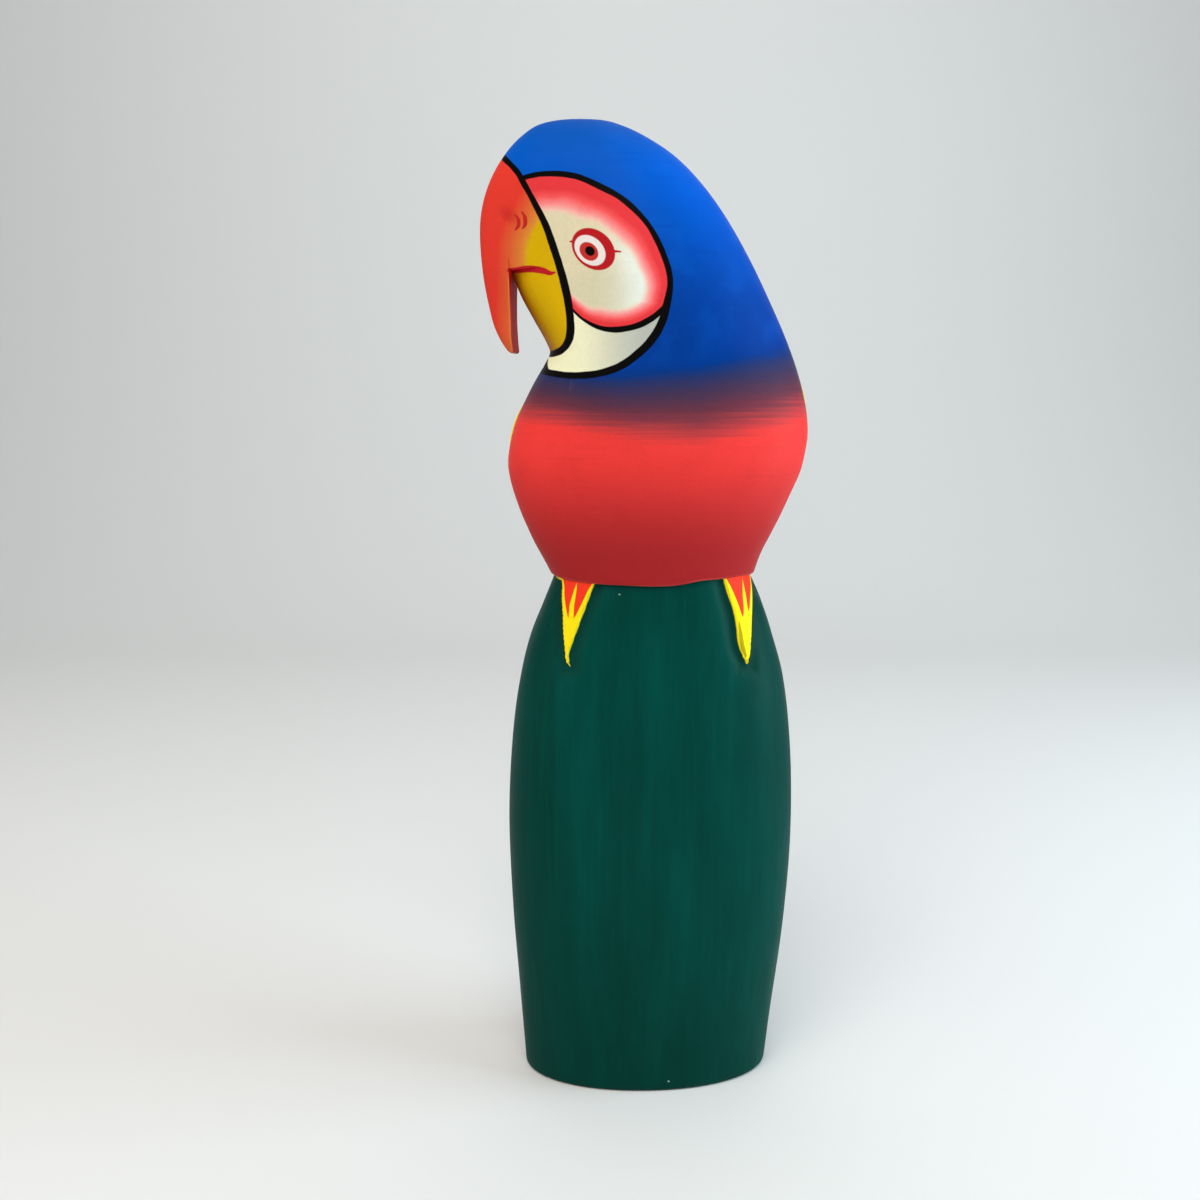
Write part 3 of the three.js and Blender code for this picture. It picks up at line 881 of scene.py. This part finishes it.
# places down and across the photo, and shares of the blend
bodyPaint = {
    "crownEnds": (100, 190),
    # the hood darkens from below the crown down to the breast: painted shade under the top light
    "hoodShadedDown": (150, 345),
    "hoodStrokes": [
        ("wide", 0.35, 0.65, 0.15, "blueDeep"), ("across", 0.5, 0.78, 0.18, "blueDeep"),
        ("cloud", 0.45, 0.7, 0.14, "blueLight"),
    ],
    # the breast darkens towards the waist: painted shade where it curves under
    "breastShadedUnder": (434, 568),
    "breastStrokes": [("across", 0.52, 0.8, 0.14, "redDeepAndShade"), ("cloud", 0.45, 0.75, 0.13, "redDeepAndShade")],
    "acrossStrands": 0.16,
    "wideStrands": 0.12,
    "lowStrands": 0.34,
    "lowStrandsFrom": (0.6, 0.95),
    "blendWidth": 1.3,
    "hoodEnds": (-0.2, 0.04),
    "redStarts": (1.05, 1.35),
    "scuffs": (562, 386, 10, 9, 0, 4),
    "scuffMarks": (0.56, 0.68),
    "scuffShare": 0.3,
    "scuffShade": (0.22, 0.19, 0.28, 1),
    # lighter red along the lower edge of the breast: wear, and a painted highlight where the rounded edge
    # catches the light
    "wornAndLitEdge": (1.1, 0.5),  # millimetres above the waist
    "wornAndLitMarks": (0.35, 0.6),
    "wornAndLitShare": 0.4,
}


def paintBody(brush):
    down = kept("photoY")
    crown = mixed(rise(down, *bodyPaint["crownEnds"]), "blueTop", "blue")
    # painted shade: the hood darkens downwards
    hood = mixed(rise(down, *bodyPaint["hoodShadedDown"]), crown, "blueShadedLow")
    hood = brushed(hood, brush, bodyPaint["hoodStrokes"])
    # painted shade: the breast darkens towards the waist
    breast = mixed(rise(down, *bodyPaint["breastShadedUnder"]), "red", "redDeepAndShade")
    breast = brushed(breast, brush, bodyPaint["breastStrokes"])
    strands = calc("ADD", swing(brush["across"], bodyPaint["acrossStrands"]),
                   swing(brush["wide"], bodyPaint["wideStrands"]))
    blend = calc("ADD", kept("blend"), strands)
    lowStrands = product(swing(brush["across"], bodyPaint["lowStrands"]),
                         rise(blend, *bodyPaint["lowStrandsFrom"]))
    between = ramp(calc("DIVIDE", calc("ADD", blend, lowStrands), bodyPaint["blendWidth"]), blendStops)
    body = mixed(rise(blend, *bodyPaint["hoodEnds"]), hood, between)
    body = mixed(rise(blend, *bodyPaint["redStarts"]), body, breast)
    scuffs = product(oval(*bodyPaint["scuffs"]), rise(brush["down"], *bodyPaint["scuffMarks"]),
                     bodyPaint["scuffShare"])
    body = mixed(product(scuffs, rise(kept("front"), -0.1, 0.1)), body, bodyPaint["scuffShade"])
    # wear and painted highlight along the lower edge of the breast
    wornAndLit = product(rise(kept("aboveWaist"), *bodyPaint["wornAndLitEdge"]),
                   rise(brush["across"], *bodyPaint["wornAndLitMarks"]), bodyPaint["wornAndLitShare"])
    return mixed(wornAndLit, body, "wornRedAndHighlight")


beakPaint = {
    "goldStrands": 6,
    "upperFrom": (-4, 36, 0, 1),
    "upper": [
        (0.07, "beakYellow"), (0.16, "tan"), (0.3, (212, 118, 50)), (0.55, "beakOrange"),
        (0.85, "beakRed"), (1, "beakRed"),
    ],
    # the lower beak turns brown at its left edge: painted shade where it rounds back under the upper beak
    "lowerLean": 0.53,
    "lowerFrom": (364, 382, 0, 1),
    "lower": [
        (0.06, "beakEdgeShade"), (0.3, (180, 128, 6)), (0.6, (200, 154, 4)), (1, "beakYellow"),
    ],
    "mouthLevel": (268, 271),
    "behindHook": (0.2, 0.5),  # millimetres behind its cut face
    # a light orange line along the hook's right edge: painted highlight on the lit edge
    "hookHighlight": (-0.8, -0.3),
    "hookHighlightEnd": (0.5, 0.2),
    "hookHighlightFrom": (276, 279),
    "hookHighlightShare": 0.6,
    "hookHighlightColour": (226, 134, 66),
    "nostrilShade": (509, 215, 9, 6, 35, 4),
    "nostrilShare": 0.5,
}


def paintBeak(brush):
    down, rear = kept("photoY"), kept("toRear")
    fromGold = calc("ADD", kept("goldSide"), swing(brush["down"], beakPaint["goldStrands"]))
    upper = ramp(spread(fromGold, *beakPaint["upperFrom"]), beakPaint["upper"])
    # painted shade along the left edge of the lower beak
    shade = calc("SUBTRACT", kept("photoX"), product(down, beakPaint["lowerLean"]))
    lower = ramp(spread(shade, *beakPaint["lowerFrom"]), beakPaint["lower"])
    isLower = product(rise(down, *beakPaint["mouthLevel"]), rise(rear, *beakPaint["behindHook"]))
    beak = mixed(isLower, upper, lower)
    # painted highlight along the right edge of the hook
    edge = product(rise(rear, *beakPaint["hookHighlight"]), rise(rear, *beakPaint["hookHighlightEnd"]),
                   rise(down, *beakPaint["hookHighlightFrom"]))
    beak = mixed(product(edge, beakPaint["hookHighlightShare"]), beak, beakPaint["hookHighlightColour"])
    beak = mixed(product(oval(*beakPaint["nostrilShade"]), beakPaint["nostrilShare"]), beak, "beakDark")
    for name in ("nostrilNear", "nostrilFar"):
        beak = mixed(stroke(name, 0.0), beak, "beakDark")
    return mixed(stroke("mouth", brush["wobble"]), beak, "crimson")


# ovals are given as [across, down, half length, half width, turn in degrees, softness]
facePaint = {
    "rimWidens": (185, 290, 0.62, 1.28),
    "innerWidens": (572, 600, -2.9, -1.6),
    "sprayUneven": 8,
    "sprayWidth": 40,
    "rim": [
        (0.24, (222, 56, 60)), (0.40, (238, 84, 86)), (0.58, (240, 142, 140)),
        (0.72, (236, 190, 174)), (0.86, "cream"),
    ],
    "patchFrom": (0.66, 0.88),
    "creamToPaper": (590, 645),
    "patchShade": (598, 292, 34, 26, 0, 14),
    "patchShadeShare": 0.45,
    "patchStrokes": [("down", 0.5, 0.75, 0.2, "patchShade")],
    "crescentTurns": (560, 650),
    "eye": [
        ((593.4, 249.1, 24, 18.5, 42), "crimson"), ((590, 250.3, 17.6, 12.9, 44), "eyeWhite"),
        ((588.9, 251.4, 10.6, 8.1, 45), "iris"), ((590, 251, 5.2, 4.4, 45), "black"),
    ],
}


def paintFace(brush):
    right, down = kept("photoX"), kept("photoY")
    toRim = product(kept("rimSide"), spread(down, *facePaint["rimWidens"]))
    toInner = product(kept("innerSide"), spread(right, *facePaint["innerWidens"]))
    sprayed = calc("ADD", calc("MINIMUM", toRim, toInner), swing(brush["cloud"], facePaint["sprayUneven"]))
    pale = mixed(rise(right, *facePaint["creamToPaper"]), "cream", "paper")
    shaded = product(oval(*facePaint["patchShade"]), facePaint["patchShadeShare"])
    pale = mixed(shaded, pale, "patchShade")
    pale = brushed(pale, brush, facePaint["patchStrokes"])
    share = calc("DIVIDE", sprayed, facePaint["sprayWidth"])
    patch = mixed(rise(share, *facePaint["patchFrom"]), ramp(share, facePaint["rim"]), pale)
    crescent = mixed(rise(right, *facePaint["crescentTurns"]), "crescent", "crescentRight")
    face = mixed(rise(kept("innerSide"), -0.4, 0.4), patch, crescent)
    for name in ("tickLeft", "tickRight"):
        face = mixed(stroke(name, 0.0), face, "crimson")
    for shape, colour in facePaint["eye"]:
        face = mixed(oval(*shape), face, colour)
    return face


# millimetres from a gap between two feathers
wingPaint = {
    "scaleEdge": (0.5, 6.5),
    "quillEdge": (0.4, 3.2),
    "strokes": [("down", 0.5, 0.8, 0.25, "blueDeep")],
    "outline": (0.75, 0.45),
    "outlineUneven": 0.5,
    "outlineShare": 0.9,
    "border": (2.8, 2.4),
}


def paintWings(brush):
    feather = kept("featherGap")
    scales = mixed(rise(feather, *wingPaint["scaleEdge"]), "yellow", "green")
    quills = mixed(rise(feather, *wingPaint["quillEdge"]), "blueDeep", "blue")
    wing = mixed(rise(kept("lowestRow"), -0.2, 0.2), scales, quills)
    wing = brushed(wing, brush, wingPaint["strokes"])
    uneven = swing(brush["cloud"], wingPaint["outlineUneven"])
    outline = rise(calc("ADD", calc("ABSOLUTE", feather), uneven), *wingPaint["outline"])
    wing = mixed(product(outline, wingPaint["outlineShare"]), wing, "black")
    return mixed(rise(kept("wingEdge"), *wingPaint["border"]), wing, "yellow")


trunkPaint = {
    "wide": (0.3, 0.7),
    "wideShade": 0.88,
    "strokes": [
        ("long", 0.46, 0.72, 0.3, "teal"), ("long", 0.5, 0.3, 0.32, "greenDeepAndShade"),
        ("down", 0.5, 0.3, 0.14, "teal"), ("down", 0.5, 0.75, 0.22, "greenDeepAndShade"),
    ],
    # the trunk darkens towards the base: painted shade where it tapers in and faces down
    "shadedBelow": (850, 1060),
    "shadeBelowShare": 0.35,
    # olive painted shade in the hollows beside the feet
    "scoopShadeShare": 0.25,
    "leftFootDab": (557.5, 578.4, 5, 1.9, 20),
    "flecks": [(619, 595, 0.9, 0.7, 30, 0.3), (669, 1083, 1, 0.8, 10, 0.3)],
}
tailPaint = {
    "outerQuills": (0.18, 0.22),
    "strokes": [("down", 0.5, 0.8, 0.3, "blueDeep")],
    "outline": (0.7, 0.4),
    "outlineShare": 0.9,
    "border": (2.2, 1.8),
}


def paintFoot():
    gold = calc("MAXIMUM", rise(kept("outerGold"), -0.4, 0.4), rise(kept("innerGold"), -0.4, 0.4))
    middle = calc("SUBTRACT", kept("footWidth"), calc("ABSOLUTE", kept("footMiddle")))
    return mixed(calc("MAXIMUM", gold, rise(middle, -0.4, 0.4)), "footRed", "yellow")


def paintTail(brush):
    plume = mixed(rise(calc("ABSOLUTE", kept("tailShare")), *tailPaint["outerQuills"]), "red", "blue")
    plume = brushed(plume, brush, tailPaint["strokes"])
    outline = product(rise(kept("tailGap"), *tailPaint["outline"]), tailPaint["outlineShare"])
    plume = mixed(outline, plume, "black")
    return mixed(rise(kept("tailEdge"), *tailPaint["border"]), plume, "yellow")


def paintTrunk(brush):
    trunk = mixed(rise(brush["wide"], *trunkPaint["wide"]), "green", scaled("green", trunkPaint["wideShade"]))
    trunk = brushed(trunk, brush, trunkPaint["strokes"])
    # painted shade: darker towards the base
    lower = product(rise(kept("photoY"), *trunkPaint["shadedBelow"]), trunkPaint["shadeBelowShare"])
    trunk = mixed(lower, trunk, "greenDeepAndShade")
    # painted shade in the hollows beside the feet
    trunk = mixed(product(kept("scoop"), trunkPaint["scoopShadeShare"]), trunk, "oliveScoopShade")
    edge = calc("MINIMUM", calc("MINIMUM", kept("footOuter"), kept("footInner")), kept("footFront"))
    onFoot = rise(calc("ADD", edge, product(brush["wobble"], 0.5)), -0.35, 0.35)
    trunk = mixed(onFoot, trunk, paintFoot())
    front = rise(kept("front"), -0.1, 0.1)
    trunk = mixed(product(oval(*trunkPaint["leftFootDab"]), front), trunk, "yellow")
    # painted shade on the side facet of the right foot
    trunk = mixed(product(stroke("claw", 0.0), front), trunk, "claw")
    for fleck in trunkPaint["flecks"]:
        trunk = mixed(product(oval(*fleck), front), trunk, "fleck")
    return mixed(rise(kept("tailEdge"), -0.15, 0.15), trunk, paintTail(brush))


finish = {
    "speckle": (0.3, 0.7, 0.97, 1.03),
    "satin": (0.3, 0.7, 0.40, 0.56),
    "specular": 0.035,
    "plainSpecular": 0.03,
    "grainShare": 0.6,
    "brushShare": 0.4,
    "bumpStrength": 0.3,
    "bumpDepth": 0.0004,
}


def bumpFrom(height, shader):
    bump = add("ShaderNodeBump", {"Height": height, "Strength": finish["bumpStrength"],
                                  "Distance": finish["bumpDepth"]})
    connect(bump.outputs["Normal"], shader.inputs["Normal"])


def paintFigure():
    material, shader = startMaterial("painted_wood")
    brush = {
        "wide": noise((14, 14, 14), 2),
        "cloud": noise((70, 70, 70), 3),
        "down": noise((420, 420, 9), 4, 0.6),
        "long": noise((55, 55, 9), 3),
        "across": noise((20, 20, 900), 4, 0.6),
        "fine": noise((900, 900, 900), 2),
        "wobble": swing(noise((160, 160, 160), 2), 1.1),
    }
    fromBand, fromRim = kept("bandSide"), kept("rimSide")
    behindBand, insideRim = rise(fromBand, 0.4, -0.4), rise(fromRim, -0.4, 0.4)
    colour = mixed(product(insideRim, behindBand), paintBody(brush), paintFace(brush))
    beakPlace = product(rise(fromBand, -0.4, 0.4), rise(kept("photoY"), 358.5, 357))
    colour = mixed(beakPlace, colour, paintBeak(brush))
    rimLine = product(stroke("rim", brush["wobble"]), behindBand)
    innerLine = product(stroke("inner", brush["wobble"]), insideRim, behindBand)
    blackLines = calc("MAXIMUM", calc("MAXIMUM", rimLine, innerLine),
                      calc("MAXIMUM", stroke("band", brush["wobble"]), stroke("chin", 0.0)))
    colour = mixed(blackLines, colour, "black")
    colour = mixed(rise(kept("wingEdge"), -0.5, -0.2), colour, paintWings(brush))
    colour = mixed(rise(kept("trunk"), -0.1, 0.1), colour, paintTrunk(brush))
    colour = scaled(colour, spread(brush["fine"], *finish["speckle"]))
    connect(colour, shader.inputs["Base Color"])
    connect(spread(noise((60, 60, 25), 4), *finish["satin"]), shader.inputs["Roughness"])
    shader.inputs["Specular IOR Level"].default_value = finish["specular"]
    grain = noise((260, 260, 7), 3, 0.6, (3, 1, 0))
    bumpFrom(calc("ADD", product(grain, finish["grainShare"]), product(brush["down"], finish["brushShare"])),
             shader)
    return material


def paintPlain(name, colourName, roughness):
    material, shader = startMaterial(name)
    streak = noise((300, 300, 12), 4)
    colour = mixed(rise(streak, 0.35, 0.7), colourName, scaled(colourName, 0.8))
    connect(colour, shader.inputs["Base Color"])
    shader.inputs["Roughness"].default_value = roughness
    shader.inputs["Specular IOR Level"].default_value = finish["plainSpecular"]
    bumpFrom(streak, shader)
    return material


mesh.materials.clear()
mesh.materials.append(paintFigure())
# painted light: the cut face of the hook is coloured brighter than its crimson paint
mesh.materials.append(paintPlain("crimson_cut", "cutCrimsonLit", 0.5))
mesh.materials.append(paintPlain("bare_base", "bare", 0.75))
mesh.polygons.foreach_set("material_index", kind)
mesh.polygons.foreach_set("use_smooth", np.ones(faceCount, bool))
mesh.set_sharp_from_angle(angle=math.radians(38))
mesh.update()
print("painted")

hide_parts("parrot")
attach(figure, "root")

studio = {
    "floorReach": 3.0,
    "wallPlace": 1.6,
    "wallCurve": 0.7,
    "wallHeight": 3.0,
    "paper": (0.80, 0.79, 0.765, 1),
    "ambient": (0.90, 0.94, 1.0, 1),
    "ambientStrength": 0.34,
    "lights": [
        {"name": "softboxAbove", "place": (-0.2, -0.75, 1.25), "size": 0.9, "watts": 12,
         "colour": (1.0, 0.97, 0.93)},
        {"name": "windowRight", "place": (1.2, -0.18, 0.45), "size": 0.8, "watts": 15.5,
         "colour": (0.66, 0.87, 1.0)},
        {"name": "lampLeft", "place": (-1.1, -0.4, 0.5), "size": 0.7, "watts": 2,
         "colour": (1.0, 0.88, 0.76)},
        {"name": "wallLamp", "place": (0, 0.55, 1.7), "size": 1.2, "watts": 5,
         "colour": (1.0, 0.99, 0.97), "aim": (0, 1.5, 0.2)},
    ],
}
wallPlace, wallCurve, reach = studio["wallPlace"], studio["wallCurve"], studio["floorReach"]
profile = [(-reach, 0.0), (wallPlace - wallCurve, 0.0)]
for degrees in range(5, 91, 5):
    turn = math.radians(degrees)
    profile.append((wallPlace - wallCurve * (1 - math.sin(turn)), wallCurve * (1 - math.cos(turn))))
profile.append((wallPlace, studio["wallHeight"]))
floorPoints = [(side, away, up) for away, up in profile for side in (-reach, reach)]
floorFaces = [(2 * i, 2 * i + 1, 2 * i + 3, 2 * i + 2) for i in range(len(profile) - 1)]
floorMesh = bpy.data.meshes.new("floor")
floorMesh.from_pydata(floorPoints, [], floorFaces)
floorMesh.polygons.foreach_set("use_smooth", np.ones(len(floorFaces), bool))
floor = bpy.data.objects.new("floor", floorMesh)
bpy.context.scene.collection.objects.link(floor)
paper, paperShader = startMaterial("paper")
paperShader.inputs["Base Color"].default_value = studio["paper"]
paperShader.inputs["Roughness"].default_value = 0.85
floorMesh.materials.append(paper)

world = bpy.data.worlds.new("studio")
bpy.context.scene.world = world
world.use_nodes = True
world.node_tree.nodes["Background"].inputs["Color"].default_value = studio["ambient"]
world.node_tree.nodes["Background"].inputs["Strength"].default_value = studio["ambientStrength"]
bpy.context.scene.view_settings.view_transform = "Standard"

for lamp in studio["lights"]:
    data = bpy.data.lights.new(lamp["name"], "AREA")
    data.size = lamp["size"]
    data.energy = lamp["watts"]
    data.color = lamp["colour"]
    light = bpy.data.objects.new(lamp["name"], data)
    light.location = lamp["place"]
    towards = Vector(lamp.get("aim", (0, 0, 0.25))) - Vector(lamp["place"])
    light.rotation_euler = towards.to_track_quat("-Z", "Y").to_euler()
    bpy.context.scene.collection.objects.link(light)

cameraData = bpy.data.cameras.new("photoCamera")
cameraData.lens = 36
cameraData.sensor_width = 36
camera = bpy.data.objects.new("photoCamera", cameraData)
camera.location = photo["place"]
camera.rotation_euler = (math.radians(90 - photo["tilt"]), 0, 0)
bpy.context.scene.collection.objects.link(camera)
bpy.context.scene.camera = camera
